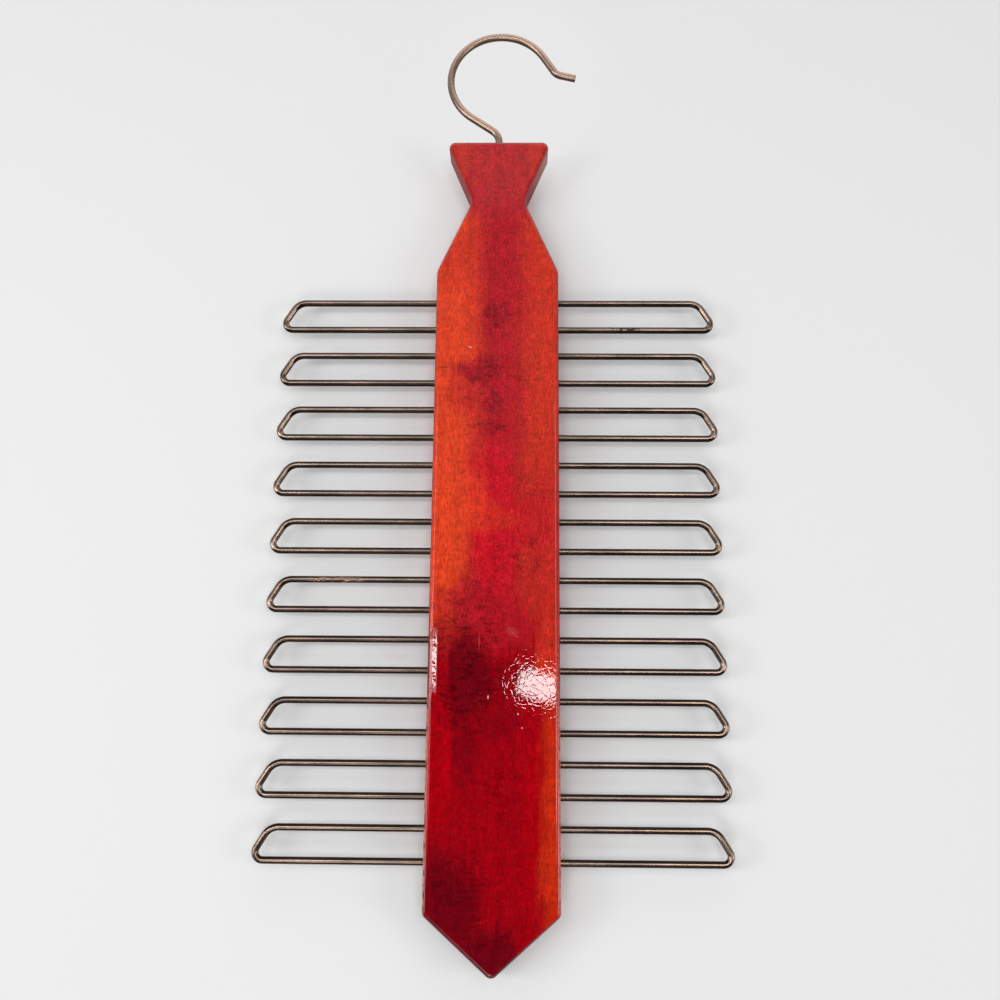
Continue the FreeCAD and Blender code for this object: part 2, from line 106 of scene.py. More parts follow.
class NodeSheet:
    """The nodes of one material or world, with short calls that add and join them."""

    def __init__(self, tree: bpy.types.NodeTree) -> None:
        """Starts with an empty tree."""
        self.tree = tree
        self.tree.nodes.clear()

    def feed(self, socket: Socket, value: Feed) -> None:
        """Gives a socket a fixed value, or joins another socket to it.

        Args:
            socket: The input to fill.
            value: A number, a colour, a vector or the output of another node.
        """
        if isinstance(value, bpy.types.NodeSocket):
            self.tree.links.new(value, socket)
        elif isinstance(value, tuple) and len(value) == 3 and socket.type == "RGBA":
            socket.default_value = (*value, 1.0)
        else:
            socket.default_value = value

    def add(self, kind: str, inputs: dict[str | int, Feed], **settings: Any) -> bpy.types.Node:
        """Adds a node.

        Args:
            kind: Blender's name of the node type.
            inputs: What goes into its sockets, by name or number.
            settings: Its other settings.

        Returns:
            The new node.
        """
        node = self.tree.nodes.new(kind)
        for name, value in settings.items():
            setattr(node, name, value)
        for name, value in inputs.items():
            self.feed(node.inputs[name], value)
        return node

    def place(self) -> Socket:
        """Gives the place on the piece, in the frame of the model."""
        return self.add("ShaderNodeTexCoord", {}).outputs["Object"]

    def facing(self) -> list[Socket]:
        """Gives the three parts of the direction that the surface faces."""
        return self.parts(self.add("ShaderNodeTexCoord", {}).outputs["Normal"])

    def parts(self, vector: Socket) -> list[Socket]:
        """Splits a vector into its three parts."""
        return list(self.add("ShaderNodeSeparateXYZ", {"Vector": vector}).outputs)

    def stretched(self, vector: Socket, scale: Point, shift: Point = (0.0, 0.0, 0.0),
                  turn: float = 0.0) -> Socket:
        """Scales, turns and shifts a place.

        Args:
            vector: The place.
            scale: Its scale along X, Y and Z.
            shift: What is added after the scale.
            turn: A turn about Y, in radians, before the shift.

        Returns:
            The changed place.
        """
        inputs = {"Vector": vector, "Location": shift, "Rotation": (0.0, turn, 0.0), "Scale": scale}
        return self.add("ShaderNodeMapping", inputs).outputs["Vector"]

    def noise(self, vector: Socket, detail: float = 2.0, rough: float = 0.5) -> bpy.types.Node:
        """Adds cloudy noise of one cell per unit.

        Args:
            vector: The place, already scaled.
            detail: How many finer layers it has.
            rough: How strong the finer layers are.

        Returns:
            The noise node, whose Fac is from 0 to 1.
        """
        inputs = {"Vector": vector, "Scale": 1.0, "Detail": detail, "Roughness": rough}
        return self.add("ShaderNodeTexNoise", inputs)

    def ramp(self, value: Socket, low: float, high: float, start: float = 0.0, end: float = 1.0) -> Socket:
        """Runs smoothly from one value to another.

        Args:
            value: What drives the run.
            low: Where the run starts.
            high: Where the run ends.
            start: The value before the run.
            end: The value after the run.

        Returns:
            The smooth value.
        """
        inputs = {"Value": value, "From Min": low, "From Max": high, "To Min": start, "To Max": end}
        return self.add("ShaderNodeMapRange", inputs, interpolation_type="SMOOTHSTEP").outputs["Result"]

    def calc(self, operation: str, first: Feed, second: Feed = 0.0) -> Socket:
        """Works out one number from two.

        Args:
            operation: Blender's name of the sum.
            first: The first number.
            second: The second number.

        Returns:
            The result.
        """
        return self.add("ShaderNodeMath", {0: first, 1: second}, operation=operation).outputs["Value"]

    def mixed(self, share: Feed, under: Feed, over: Feed, blend: Blend = Blend.COVER) -> Socket:
        """Lays one colour over another.

        Args:
            share: How much of the upper colour shows.
            under: The lower colour.
            over: The upper colour.
            blend: How the two combine.

        Returns:
            The mixed colour.
        """
        node = self.add("ShaderNodeMix", {}, data_type="RGBA", blend_type=blend.value)
        self.feed(node.inputs[MIX_SHARE], share)
        self.feed(node.inputs[MIX_UNDER], under)
        self.feed(node.inputs[MIX_OVER], over)
        return node.outputs[MIX_RESULT]

    def patch(self, vector: Socket, centre: tuple[float, float], reach: tuple[float, float],
              turn: float = 0.0) -> Socket:
        """Gives a soft oval patch on the front view, 1 in its middle and 0 at its rim.

        Args:
            vector: The place.
            centre: Its middle along X and Z.
            reach: Its half sizes along X and Z.
            turn: How far it leans, in radians.

        Returns:
            The patch's strength.
        """
        moved = self.stretched(vector, (1.0, 0.0, 1.0), (-centre[0], 0.0, -centre[1]))
        scale = (1.0 / reach[0], 0.0, 1.0 / reach[1])
        turned = self.stretched(moved, (1.0, 1.0, 1.0), turn=turn) if turn else moved
        oval = self.stretched(turned, scale)
        return self.add("ShaderNodeTexGradient", {"Vector": oval}, gradient_type="SPHERICAL").outputs["Fac"]

    def grey(self, value: Socket, low: float, high: float, start: float, end: float) -> Socket:
        """Turns a value into a grey that darkens or lightens a colour by multiplying.

        Args:
            value: What drives the grey.
            low: The value at which the run starts.
            high: The value at which the run ends.
            start: The grey before the run.
            end: The grey after the run.

        Returns:
            The grey as a colour.
        """
        level = self.ramp(value, low, high, start, end)
        inputs = {"Red": level, "Green": level, "Blue": level}
        return self.add("ShaderNodeCombineColor", inputs).outputs["Color"]

    def surface(self, inputs: dict[str, Feed]) -> None:
        """Ends the sheet in one standard surface.

        Args:
            inputs: What goes into the surface's sockets.
        """
        shader = self.add("ShaderNodeBsdfPrincipled", inputs)
        self.add("ShaderNodeOutputMaterial", {"Surface": shader.outputs["BSDF"]})


def new_material(name: str) -> tuple[bpy.types.Material, NodeSheet]:
    """Starts a material.

    Args:
        name: Its name.

    Returns:
        The material and its empty node sheet.
    """
    material = bpy.data.materials.new(name)
    material.use_nodes = True
    return material, NodeSheet(material.node_tree)


def wear(piece: bpy.types.Object, material: bpy.types.Material) -> None:
    """Puts one material on a piece.

    Args:
        piece: The piece.
        material: Its material.
    """
    piece.data.materials.clear()
    piece.data.materials.append(material)
    for slot in piece.material_slots:
        slot.material = material
    LOG.info("%s wears %s", piece.name, material.name)


@dataclass(frozen=True)
class Spot:
    """A soft oval on the front view: its middle and its half sizes along X and Z, in millimetres."""

    # How far in from the rim, as a share of the way to the middle, the spot shows in full.
    full: ClassVar[float] = 0.5
    centre: tuple[float, float]
    reach: tuple[float, float]

    def shown(self, sheet: NodeSheet, place: Socket, strength: float, lean: float = 0.0) -> Socket:
        """Tells how strongly the spot shows at a place.

        Args:
            sheet: The material's nodes.
            place: The place on the piece.
            strength: How strongly it shows in its middle.
            lean: How far it leans, in radians.

        Returns:
            The share of its colour, which is 0 at its rim.
        """
        centre = (self.centre[0] * MM, self.centre[1] * MM)
        reach = (self.reach[0] * MM, self.reach[1] * MM)
        return sheet.ramp(sheet.patch(place, centre, reach, lean), 0.0, self.full, 0.0, strength)


@dataclass(frozen=True)
class Stain(Spot):
    """A soft patch of stain on the wood."""

    full: ClassVar[float] = 0.55
    tone: Tone
    strength: float


@dataclass(frozen=True)
class Figure(Spot):
    """A patch of short dark bars across the grain."""

    strength: float


@dataclass(frozen=True)
class Mark(Spot):
    """A small mark, which may lean, in radians. Most are wear; two on the wood are painted glints."""

    colour: Colour
    strength: float
    lean: float = 0.0


@dataclass(frozen=True)
class Grain:
    """One layer of the grain: its cells per metre, its finer layers, and how it darkens and lightens."""

    cells: Point
    detail: float
    rough: float
    dark: float
    light: float


@dataclass(frozen=True)
class LacqueredWood:
    """Red-stained wood under gloss lacquer, with open pores along the grain."""

    # Where the stain runs thin towards both sides below the waist and thick towards the foot.
    waist: tuple[float, float] = (-0.100, -0.110)
    left_thin: tuple[float, float] = (-0.002, -0.020)
    right_thin: tuple[float, float] = (0.005, 0.022)
    thick: tuple[float, float] = (-0.296, -0.336)
    cloud_cells: Point = (60.0, 60.0, 26.0)
    cloud_push: Point = (0.014, 0.0, 0.026)
    streak_cells: Point = (420.0, 420.0, 34.0)
    streak_shift: Point = (7.0, 3.0, 5.0)
    streak_push: Point = (0.006, 0.0, 0.012)

    # The gloss of the flat faces, the rounded edges and the sawn sides, by how far they face front or back,
    # and the painted shade that darkens the edges and sides as they turn away from front and back.
    refraction: float = 1.5
    roughness: float = 0.025
    edge_roughness: float = 0.15
    side_roughness: float = 0.60
    rough_facing: tuple[float, float] = (0.30, 0.75)
    gloss_facing: tuple[float, float] = (0.9930, 0.9995)
    side_shade_facing: tuple[float, float] = (0.50, 0.97)
    side_painted_shade: float = 0.60

    # The fine waves and wrinkles of the lacquer.
    wave_cells: Point = (950.0, 950.0, 950.0)
    wave_height: float = 0.000003
    wrinkle_cells: Point = (350.0, 350.0, 350.0)
    wrinkle_push: Point = (0.0016, 0.0016, 0.0016)
    wrinkle_width: float = 0.16
    wrinkle_depth: float = 0.0000036

    # A painted highlight, pale and broken up by noise, along the long rounded edges of the lower blade.
    edge_highlight_facing: tuple[float, float] = (0.50, 0.75)
    edge_highlight_front: tuple[float, float] = (0.05, 0.25)
    edge_highlight_top: tuple[float, float] = (-0.335, -0.360)
    edge_highlight_foot: tuple[float, float] = (-0.442, -0.432)
    edge_highlight_cells: Point = (300.0, 300.0, 260.0)
    edge_highlight_range: tuple[float, float] = (0.35, 0.60)
    edge_highlight_share: float = 0.75
    edge_highlight_colour: Colour = paint(226, 140, 118)

    # The thick run of lacquer on the left edge.
    run_across: tuple[float, float] = (-0.0258, -0.0284)
    run_top: tuple[float, float] = (-0.3135, -0.3205)
    run_foot: tuple[float, float] = (-0.3460, -0.3370)
    run_depth: float = 0.00030
    run_push: Point = (0.0004, 0.0, 0.004)

    # The end grain, the dark pores and the pale flecks.
    bend_cells: Point = (30.0, 30.0, 9.0)
    bend_push: Point = (0.008, 0.004, 0.0)
    end_facing: tuple[float, float] = (0.20, 0.60)
    end_grain: float = 0.70
    pore: Colour = paint(96, 8, 14)
    pore_cells: Point = (2200.0, 2200.0, 480.0)
    pore_range: tuple[float, float] = (0.56, 0.70)
    pore_share: float = 0.40
    fleck: Colour = paint(236, 140, 130)
    fleck_cells: Point = (1900.0, 1900.0, 900.0)
    fleck_shift: Point = (3.0, 5.0, 7.0)
    fleck_range: tuple[float, float] = (0.45, 0.75)
    fleck_share: float = 0.07
    fleck_fade: tuple[float, float] = (-0.280, -0.340)
    fleck_low: float = 0.2

    # The figure across the grain, the grain itself, the stain's patches, and the small nicks, scratches and
    # scuffs of wear, among which two dots are painted glints.
    bar_cells: Point = (210.0, 210.0, 560.0)
    bar_range: tuple[float, float] = (0.53, 0.62)
    bar_rough: float = 0.6
    bar_dark: float = 0.60
    figures: tuple[Figure, ...] = (
        Figure((0.4, -159.0), (10.0, 11.0), 0.8),
        Figure((-4.0, -168.0), (8.0, 7.0), 0.6),
        Figure((-5.0, -188.0), (16.0, 9.0), 0.9),
        Figure((-3.5, -204.0), (8.0, 8.0), 0.8),
        Figure((-2.0, -218.0), (11.0, 6.0), 1.0),
        Figure((15.0, -192.0), (11.0, 10.0), 0.6),
        Figure((17.0, -247.0), (10.0, 9.0), 0.5),
        Figure((10.0, -281.0), (20.0, 14.0), 0.65),
        Figure((-10.0, -305.0), (16.0, 14.0), 0.6),
        Figure((-13.0, -330.0), (26.0, 40.0), 1.0),
        Figure((3.0, -383.0), (14.0, 12.0), 0.6),
        Figure((-14.0, -424.0), (18.0, 16.0), 0.7),
        Figure((-1.0, -446.0), (16.0, 10.0), 0.8),
    )
    grain_range: tuple[float, float] = (0.30, 0.70)
    grains: tuple[Grain, ...] = (
        Grain((260.0, 260.0, 150.0), 3.0, 0.6, 0.90, 1.10),
        Grain((150.0, 150.0, 620.0), 2.0, 0.6, 0.91, 1.09),
        Grain((260.0, 260.0, 9.0), 2.0, 0.5, 0.93, 1.07),
        Grain((1700.0, 1700.0, 330.0), 3.0, 0.65, 0.78, 1.22),
    )
    stains: tuple[Stain, ...] = (
        Stain((0.0, -76.0), (60.0, 34.0), Tone.BRICK, 0.20),
        Stain((-21.0, -73.0), (10.0, 18.0), Tone.BRICK, 0.55),
        Stain((21.0, -73.0), (10.0, 18.0), Tone.BRICK, 0.55),
        Stain((-20.0, -123.0), (13.0, 15.0), Tone.BRICK, 0.75),
        Stain((-22.0, -134.0), (13.0, 15.0), Tone.BRICK, 0.5),
        Stain((-13.0, -186.7), (10.0, 8.0), Tone.CRIMSON, 0.85),
        Stain((-15.0, -199.0), (10.0, 15.0), Tone.CRIMSON, 0.45),
        Stain((0.0, -262.0), (16.0, 50.0), Tone.SCARLET, 0.85),
        Stain((18.0, -264.0), (14.0, 18.0), Tone.SCARLET, 0.55),
        Stain((-11.0, -254.0), (9.0, 18.0), Tone.ORANGE, 0.55),
        Stain((2.0, -261.0), (14.0, 9.0), Tone.ORANGE, 0.30),
        Stain((-15.0, -188.0), (11.0, 5.0), Tone.PLUM, 0.18),
        Stain((-0.1, -158.0), (7.0, 8.0), Tone.PLUM, 0.6),
        Stain((-7.0, -189.5), (10.0, 7.0), Tone.PLUM, 0.65),
        Stain((-0.6, -204.0), (8.0, 7.0), Tone.PLUM, 0.55),
        Stain((-2.0, -218.0), (8.0, 6.0), Tone.PLUM, 0.6),
        Stain((-12.5, -303.0), (12.0, 18.0), Tone.CRIMSON, 0.8),
        Stain((27.0, -322.0), (10.0, 34.0), Tone.BRICK, 0.9),
        Stain((24.0, -275.0), (12.0, 60.0), Tone.CRIMSON, 0.38),
        Stain((5.0, -312.0), (16.0, 18.0), Tone.CRIMSON, 0.7),
        Stain((-9.0, -295.0), (8.0, 16.0), Tone.PLUM, 0.35),
        Stain((-11.0, -334.0), (14.0, 28.0), Tone.MAROON, 0.85),
        Stain((4.0, -341.0), (18.0, 14.0), Tone.MAROON, 0.35),
        Stain((2.0, -358.0), (12.0, 10.0), Tone.MAROON, 0.40),
        Stain((-23.7, -304.0), (8.0, 10.0), Tone.CRIMSON, 0.45),
        Stain((-24.0, -320.0), (7.0, 12.0), Tone.PLUM, 0.50),
        Stain((-16.5, -317.0), (5.0, 7.0), Tone.CRIMSON, 0.50),
        Stain((-25.5, -376.0), (9.0, 34.0), Tone.BRIGHT_RED, 0.9),
        Stain((-13.5, -366.0), (7.0, 26.0), Tone.MAROON, 0.5),
        Stain((20.0, -396.0), (12.0, 50.0), Tone.BRIGHT_RED, 0.6),
        Stain((-19.0, -432.0), (19.0, 28.0), Tone.MAROON, 0.85),
        Stain((-5.0, -461.0), (25.0, 20.0), Tone.MAROON, 0.9),
        Stain((30.5, -405.0), (13.0, 82.0), Tone.AMBER, 1.0),
    )
    mark_depth: tuple[float, float] = (-0.004, -0.007)
    marks_and_glints: tuple[Mark, ...] = (
        Mark((-13.1, -177.4), (1.5, 0.3), paint(235, 190, 176), 0.7, -0.4),
        Mark((-25.9, -187.8), (3.6, 0.35), paint(112, 20, 18), 0.75),
        Mark((-6.8, -321.0), (0.35, 4.2), paint(196, 80, 76), 0.40),
        Mark((-2.4, -345.5), (0.33, 1.1), paint(240, 205, 195), 0.8),
        Mark((8.4, -316.0), (4.0, 2.6), paint(176, 62, 62), 0.40, -0.5),
        Mark((7.0, -314.6), (1.4, 0.3), paint(196, 104, 100), 0.30, -0.7),
        Mark((8.6, -316.4), (1.6, 0.3), paint(196, 104, 100), 0.30, -0.6),
        Mark((10.4, -318.2), (1.2, 0.3), paint(196, 104, 100), 0.30, -0.4),
        # Two painted glints: dots of painted highlight where the lacquer's pits catch the lamp.
        Mark((11.2, -352.9), (0.5, 0.5), paint(240, 190, 180), 0.7),
        Mark((13.0, -359.0), (0.5, 0.5), paint(235, 180, 170), 0.6),
    )

    def stained(self, sheet: NodeSheet, place: Socket) -> Socket:
        """Lays the stain over the wood, thin along both sides and thick in the middle and below.

        Args:
            sheet: The material's nodes.
            place: The place on the wood.

        Returns:
            The colour of the stain.
        """
        cloud = sheet.noise(sheet.stretched(place, self.cloud_cells), detail=3.0).outputs["Color"]
        cells = sheet.stretched(place, self.streak_cells, self.streak_shift)
        streak = sheet.noise(cells).outputs["Color"]
        wander = self.pushed(sheet, place, cloud, self.cloud_push)
        wander = self.pushed(sheet, wander, streak, self.streak_push)
        across, _, level = sheet.parts(wander)
        below = sheet.ramp(sheet.parts(place)[2], *self.waist)
        left = sheet.calc("MULTIPLY", sheet.ramp(across, *self.left_thin), below)
        right = sheet.calc("MULTIPLY", sheet.ramp(across, *self.right_thin), below)
        colour = sheet.mixed(left, Tone.CRIMSON.value, Tone.ORANGE.value)
        colour = sheet.mixed(right, colour, Tone.BRICK.value)
        colour = sheet.mixed(sheet.ramp(level, *self.thick), colour, Tone.DEEP_RED.value)
        for stain in self.stains:
            share = stain.shown(sheet, wander, stain.strength)
            colour = sheet.mixed(share, colour, stain.tone.value)
        return colour

    def pushed(self, sheet: NodeSheet, place: Socket, cloud: Socket, amount: Point) -> Socket:
        """Pushes a place about by coloured noise.

        Args:
            sheet: The material's nodes.
            place: The place.
            cloud: The coloured noise, about 0.5 on average.
            amount: The widest push along X, Y and Z.

        Returns:
            The pushed place.
        """
        half = tuple(-0.5 * part for part in amount)
        offset = sheet.stretched(cloud, amount, half)
        inputs = {0: place, 1: offset}
        return sheet.add("ShaderNodeVectorMath", inputs, operation="ADD").outputs["Vector"]

    def marked(self, sheet: NodeSheet, place: Socket, colour: Socket) -> Socket:
        """Adds the nicks, scratches and scuffs, and two dots of painted glint.

        Args:
            sheet: The material's nodes.
            place: The place on the wood.
            colour: The colour so far.

        Returns:
            The colour with the marks, which are on the front only.
        """
        front = sheet.ramp(sheet.parts(place)[1], *self.mark_depth)
        for mark in self.marks_and_glints:
            share = mark.shown(sheet, place, mark.strength, mark.lean)
            colour = sheet.mixed(sheet.calc("MULTIPLY", share, front), colour, mark.colour)
        return colour

    def material(self) -> bpy.types.Material:
        """Makes the material.

        Returns:
            The wood's material.
        """
        material, sheet = new_material("stained_wood")
        place = sheet.place()
        bend = sheet.noise(sheet.stretched(place, self.bend_cells), detail=1.0).outputs["Color"]
        along = self.pushed(sheet, place, bend, self.bend_push)
        pores = sheet.noise(sheet.stretched(along, self.pore_cells), detail=1.0).outputs["Fac"]
        cells = sheet.stretched(along, self.fleck_cells, self.fleck_shift)
        flecks = sheet.noise(cells, detail=1.0).outputs["Fac"]
        upright = sheet.calc("ABSOLUTE", sheet.facing()[2])
        flat = sheet.calc("ABSOLUTE", sheet.facing()[1])

        colour = self.stained(sheet, place)
        for grain in self.grains:
            value = sheet.noise(sheet.stretched(along, grain.cells), grain.detail, grain.rough).outputs["Fac"]
            shade = sheet.grey(value, *self.grain_range, grain.dark, grain.light)
            colour = sheet.mixed(1.0, colour, shade, Blend.MULTIPLY)
        colour = self.crossed(sheet, place, colour)
        share = sheet.ramp(flecks, *self.fleck_range, 0.0, self.fleck_share)
        fade = sheet.ramp(sheet.parts(place)[2], *self.fleck_fade, 1.0, self.fleck_low)
        colour = sheet.mixed(sheet.calc("MULTIPLY", share, fade), colour, self.fleck)
        colour = sheet.mixed(sheet.ramp(pores, *self.pore_range, 0.0, self.pore_share), colour, self.pore)
        shade = sheet.grey(upright, *self.end_facing, 1.0, self.end_grain)
        colour = sheet.mixed(1.0, colour, shade, Blend.MULTIPLY)
        # Painted shade: the rounded edges and sawn sides are darkened as they turn away from front and back.
        shade = sheet.grey(flat, *self.side_shade_facing, self.side_painted_shade, 1.0)
        colour = sheet.mixed(1.0, colour, shade, Blend.MULTIPLY)
        gloss = sheet.ramp(flat, *self.gloss_facing, self.edge_roughness, self.roughness)
        rough = sheet.ramp(flat, *self.rough_facing, self.side_roughness, 0.0)
        # Painted highlight along the long rounded edges of the lower blade.
        colour = self.wear_and_edge_highlight(sheet, place, colour)
        colour = self.marked(sheet, place, colour)
        sheet.surface({
            "Base Color": colour,
            "Roughness": sheet.calc("MAXIMUM", gloss, rough),
            "IOR": self.refraction,
            "Normal": self.lacquered(sheet, place),
        })
        return material

    def crossed(self, sheet: NodeSheet, place: Socket, colour: Socket) -> Socket:
        """Adds short dark bars across the grain where the wood is figured.

        Args:
            sheet: The material's nodes.
            place: The place on the wood.
            colour: The colour so far.

        Returns:
            The colour with the bars.
        """
        bars = sheet.noise(sheet.stretched(place, self.bar_cells), rough=self.bar_rough).outputs["Fac"]
        shade = sheet.grey(bars, *self.bar_range, 1.0, self.bar_dark)
        barred = sheet.mixed(1.0, colour, shade, Blend.MULTIPLY)
        for figure in self.figures:
            colour = sheet.mixed(figure.shown(sheet, place, figure.strength), colour, barred)
        return colour

    def wear_and_edge_highlight(self, sheet: NodeSheet, place: Socket, colour: Socket) -> Socket:
        """Paints a pale highlight along the long rounded edges of the lower blade.

        Args:
            sheet: The material's nodes.
            place: The place on the wood.
            colour: The colour so far.

        Returns:
            The colour with the painted edge highlight.
        """
        across, through, _ = sheet.facing()
        level = sheet.parts(place)[2]
        front = sheet.calc("MULTIPLY", through, -1.0)
        share = sheet.ramp(sheet.calc("ABSOLUTE", across), *self.edge_highlight_facing)
        share = sheet.calc("MULTIPLY", share, sheet.ramp(front, *self.edge_highlight_front))
        share = sheet.calc("MULTIPLY", share, sheet.ramp(level, *self.edge_highlight_top))
        share = sheet.calc("MULTIPLY", share, sheet.ramp(level, *self.edge_highlight_foot, 0.0, self.edge_highlight_share))
        highlight_breaks = sheet.noise(sheet.stretched(place, self.edge_highlight_cells)).outputs["Fac"]
        share = sheet.calc("MULTIPLY", share, sheet.ramp(highlight_breaks, *self.edge_highlight_range))
        return sheet.mixed(share, colour, self.edge_highlight_colour)

    def lacquered(self, sheet: NodeSheet, place: Socket) -> Socket:
        """Gives the lacquer its fine waves, its wrinkles and the thick run on the left edge.

        Args:
            sheet: The material's nodes.
            place: The place on the wood.

        Returns:
            The direction that the lacquer faces.
        """
        waves = sheet.noise(sheet.stretched(place, self.wave_cells), detail=1.0).outputs["Fac"]
        ripple = sheet.noise(sheet.stretched(place, self.wrinkle_cells), detail=1.0).outputs["Color"]
        rippled = self.pushed(sheet, place, ripple, self.wrinkle_push)
        across, _, level = sheet.parts(self.pushed(sheet, place, ripple, self.run_push))
        run = sheet.ramp(across, *self.run_across, 0.0, -self.run_depth)
        run = sheet.calc("MULTIPLY", run, sheet.ramp(level, *self.run_top))
        run = sheet.calc("MULTIPLY", run, sheet.ramp(level, *self.run_foot))
        cells = sheet.stretched(rippled, self.wrinkle_cells)
        inputs = {"Vector": cells, "Scale": 1.0}
        rim = sheet.add("ShaderNodeTexVoronoi", inputs, feature="DISTANCE_TO_EDGE").outputs["Distance"]
        wrinkles = sheet.ramp(rim, 0.0, self.wrinkle_width, -self.wrinkle_depth, 0.0)
        height = sheet.calc("ADD", sheet.calc("MULTIPLY", waves, self.wave_height), run)
        height = sheet.calc("ADD", height, wrinkles)
        inputs = {"Strength": 1.0, "Distance": 1.0, "Height": height}
        return sheet.add("ShaderNodeBump", inputs).outputs["Normal"]


@dataclass(frozen=True)
class PlatedWire:
    """Plated steel wire, dark with a painted highlight along its front and back, slightly uneven and flaked
    in places.

    The painted highlight starts at the first share of the half depth in highlight_band and is full at the
    second. It is wider where the wire slants.
    """

    name: str
    half_depth: float
    dark: Colour
    painted_highlight: Colour
    roughness: float
    highlight_band: tuple[float, float] = (0.92, 1.0)
    highlight_spread: float = 0.85
    cells: Point = (60.0, 300.0, 90.0)
    cloud_range: tuple[float, float] = (0.30, 0.70)
    uneven: float = 0.25
    flake_cells: Point = (600.0, 800.0, 800.0)
    flake_range: tuple[float, float] = (0.46, 0.58)
    flakes: tuple[Mark, ...] = ()

    def material(self) -> bpy.types.Material:
        """Makes the material.

        Returns:
            The wire's material.
        """
        material, sheet = new_material(self.name)
        place = sheet.place()
        depth = sheet.calc("DIVIDE", sheet.calc("ABSOLUTE", sheet.parts(place)[1]), self.half_depth)
        sideways = sheet.facing()[0]
        spread = sheet.calc("MULTIPLY", sheet.calc("MULTIPLY", sideways, sideways), self.highlight_spread)
        # Painted highlight: the front and back of the wire are painted lighter as a streak of reflected
        # light, wider where it slants.
        colour = sheet.mixed(sheet.ramp(sheet.calc("ADD", depth, spread), *self.highlight_band), self.dark, self.painted_highlight)
        cloud = sheet.noise(sheet.stretched(place, self.cells)).outputs["Fac"]
        shade = sheet.grey(cloud, *self.cloud_range, 1.0 - self.uneven, 1.0 + self.uneven)
        colour = sheet.mixed(1.0, colour, shade, Blend.MULTIPLY)
        specks = sheet.noise(sheet.stretched(place, self.flake_cells)).outputs["Fac"]
        wear_and_edge_highlight = sheet.ramp(specks, *self.flake_range)
        for flake in self.flakes:
            spot = flake.shown(sheet, place, flake.strength, flake.lean)
            colour = sheet.mixed(sheet.calc("MULTIPLY", spot, wear_and_edge_highlight), colour, flake.colour)
        sheet.surface({"Base Color": colour, "Metallic": 1.0, "Roughness": self.roughness})
        return material


@dataclass
class Board:
    """The wooden board with the brad in its back."""

    wood_node: str = "tie_board"
    pin_node: str = "hook_retaining_pin"
    wood: LacqueredWood = LacqueredWood()
    pin: PlatedWire = PlatedWire("pin_steel", 0.008, paint(160, 158, 154), paint(186, 184, 180), 0.35)

    def dress(self, nodes: dict[str, bpy.types.Object]) -> None:
        """Gives the board and the brad their finishes.

        Args:
            nodes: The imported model's nodes by name.
        """
        wear(nodes[self.wood_node], self.wood.material())
        wear(nodes[self.pin_node], self.pin.material())


@dataclass
class Loops:
    """The two rows of wire loops."""

    count: int = 10
    wire: PlatedWire = PlatedWire(
        "bronzed_wire", 0.0016, paint(44, 35, 30), paint(150, 129, 115), 0.25,
        flakes=(
            Mark((-75.0, -291.2), (16.0, 3.0), paint(140, 112, 94), 0.9),
            Mark((64.0, -165.4), (9.0, 3.0), paint(36, 28, 24), 0.9),
        ),
    )

    def dress(self, nodes: dict[str, bpy.types.Object]) -> None:
        """Gives every loop the same wire finish.

        Args:
            nodes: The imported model's nodes by name.
        """
        material = self.wire.material()
        for side in Side:
            for number in range(1, self.count + 1):
                wear(nodes[f"loop_{side.value}_{number:02d}"], material)


@dataclass
class Hook:
    """The hook that turns in the knot."""

    node: str = "swivel_hook"
    wire: PlatedWire = PlatedWire(
        "hook_wire", 0.0019, paint(84, 68, 59), paint(186, 156, 138), 0.36,
        highlight_band=(0.45, 0.88), highlight_spread=0.0, cells=(50.0, 50.0, 50.0), uneven=0.10)

    def dress(self, nodes: dict[str, bpy.types.Object]) -> None:
        """Gives the hook its finish.

        Args:
            nodes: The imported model's nodes by name.
        """
        wear(nodes[self.node], self.wire.material())


@dataclass(frozen=True)
class Lamp:
    """A flat soft lamp: its place, what it points at, its size, its brightness and its roll in degrees."""

    name: str
    place: Point
    aim: Point
    width: float
    height: float
    brightness: float
    roll: float = 0.0

    def build(self) -> None:
        """Adds the lamp, which the camera doesn't see."""
        way = Vector(self.aim) - Vector(self.place)
        turn = way.to_track_quat("-Z", "Y") @ Quaternion((0.0, 0.0, 1.0), math.radians(self.roll))
        bpy.ops.object.light_add(type="AREA", location=self.place, rotation=turn.to_euler())
        lamp = bpy.context.object
        lamp.name = self.name
        lamp.data.shape = "RECTANGLE"
        lamp.data.size = self.width
        lamp.data.size_y = self.height
        lamp.data.energy = self.brightness * math.pi * self.width * self.height
        lamp.visible_camera = False
        LOG.info("lamp %s", self.name)


